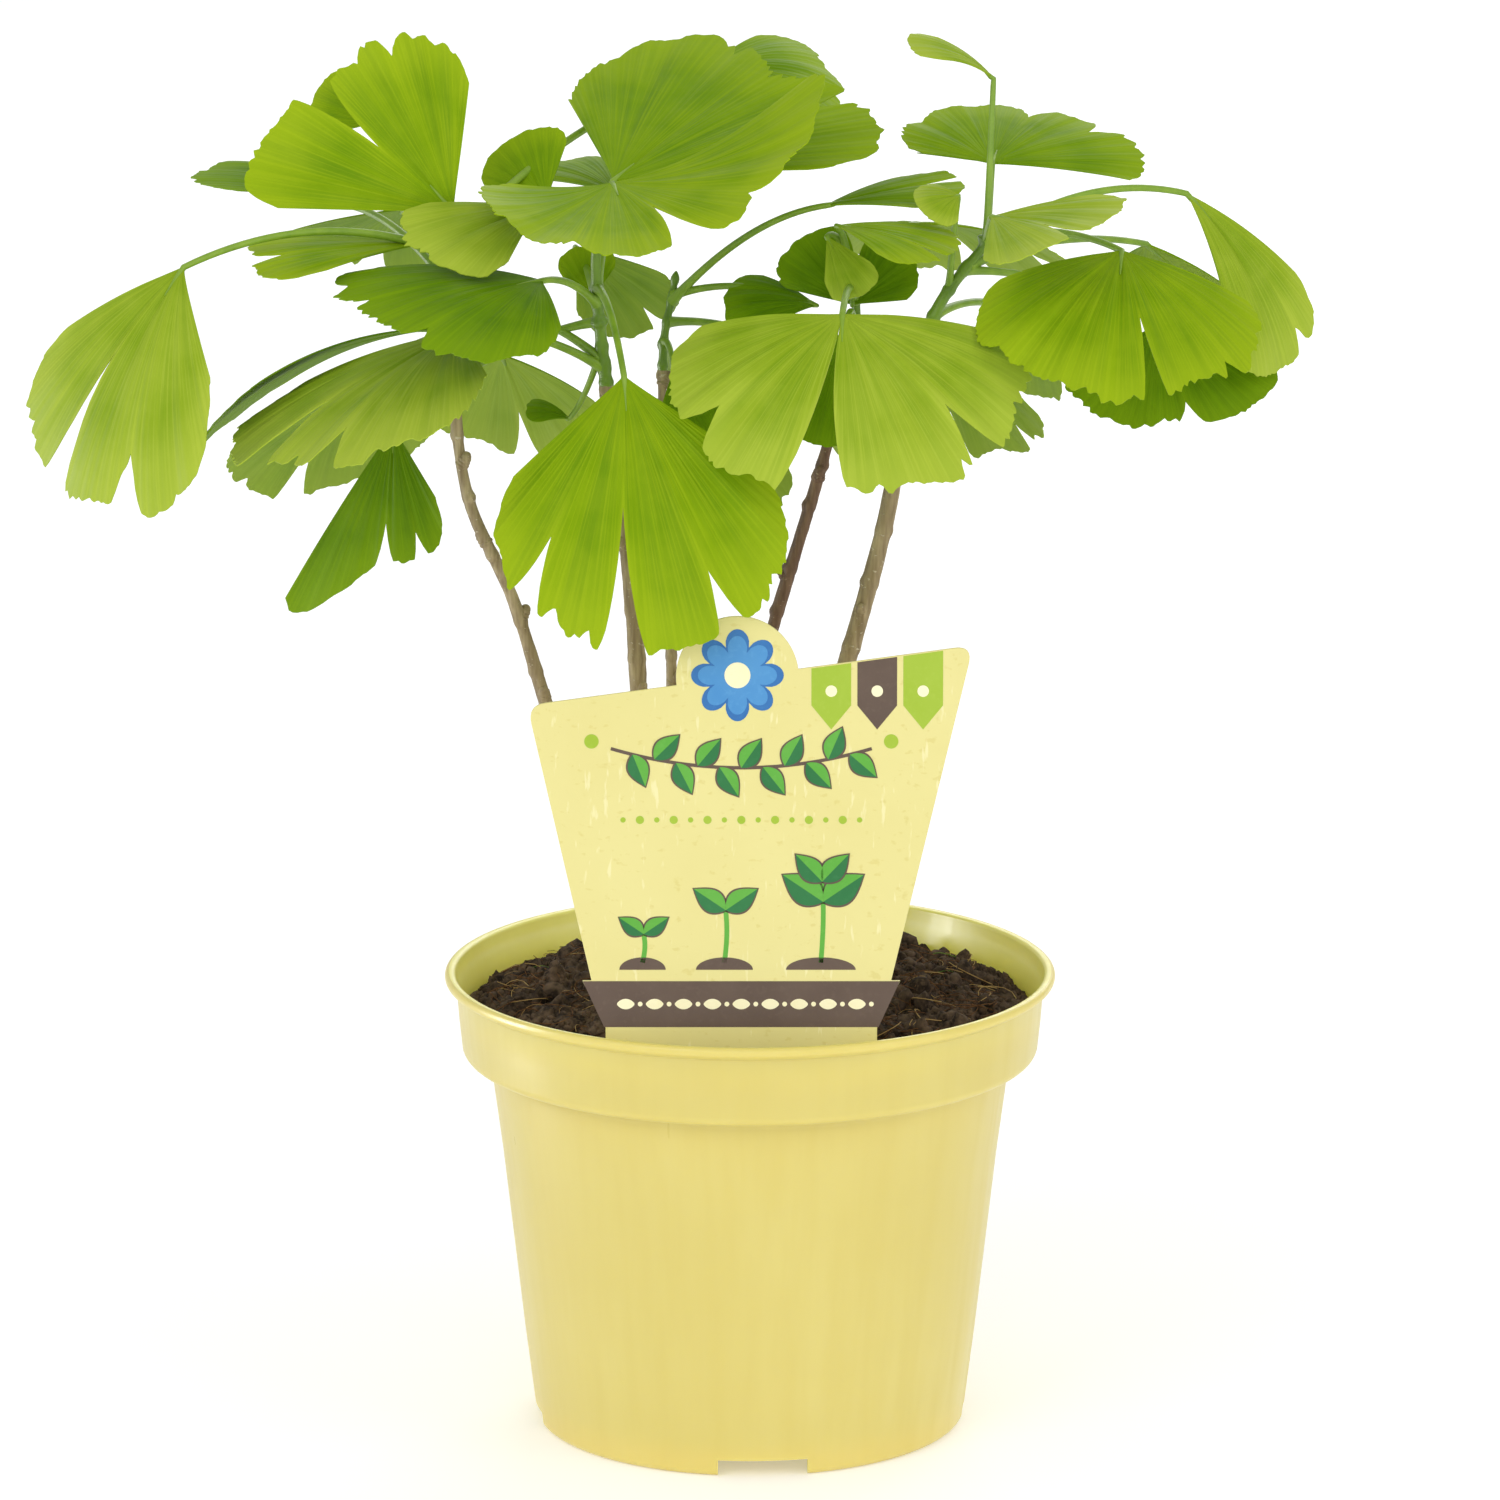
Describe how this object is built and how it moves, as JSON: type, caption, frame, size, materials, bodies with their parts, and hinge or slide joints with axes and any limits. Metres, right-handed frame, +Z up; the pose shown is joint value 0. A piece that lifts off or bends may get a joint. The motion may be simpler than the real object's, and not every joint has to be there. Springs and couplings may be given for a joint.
{
  "type": "potted young ginkgo tree",
  "caption": "Young ginkgo with thin woody stems and long-stalked fan-shaped leaves, growing in a stepped round nursery pot of peat with a plain picture card stuck in at the front.",
  "frame": {"origin": "centre of the pot's flat underside, at the level that it stands on", "axes": "+Z up along the pot's axis and the stems, -Y towards the front with the label card, +X to the right seen from the front"},
  "size_m": [0.2711, 0.169, 0.3021],
  "materials": {
    "pot_plastic": "moulded pale yellow plastic, satin gloss",
    "peat": "dark brown crumbly peat with fine fibres, matte",
    "card_board": "pale yellow coated board with a plain printed design",
    "bark": "grey-brown young bark with buds and leaf scars",
    "leaf": "fresh green leaf with a soft waxy sheen and fine fanned veins"
  },
  "bodies": {
    "root": {"pot": "pot_plastic", "peat": "peat", "label_card": "card_board", "stem_left": "bark", "stem_centre": "bark", "stem_back": "bark", "stem_mid_right": "bark", "stem_right": "bark", "leaves_left": "leaf", "leaves_centre": "leaf", "leaves_back": "leaf", "leaves_mid_right": "leaf", "leaves_right": "leaf"}
  },
  "joints": []
}
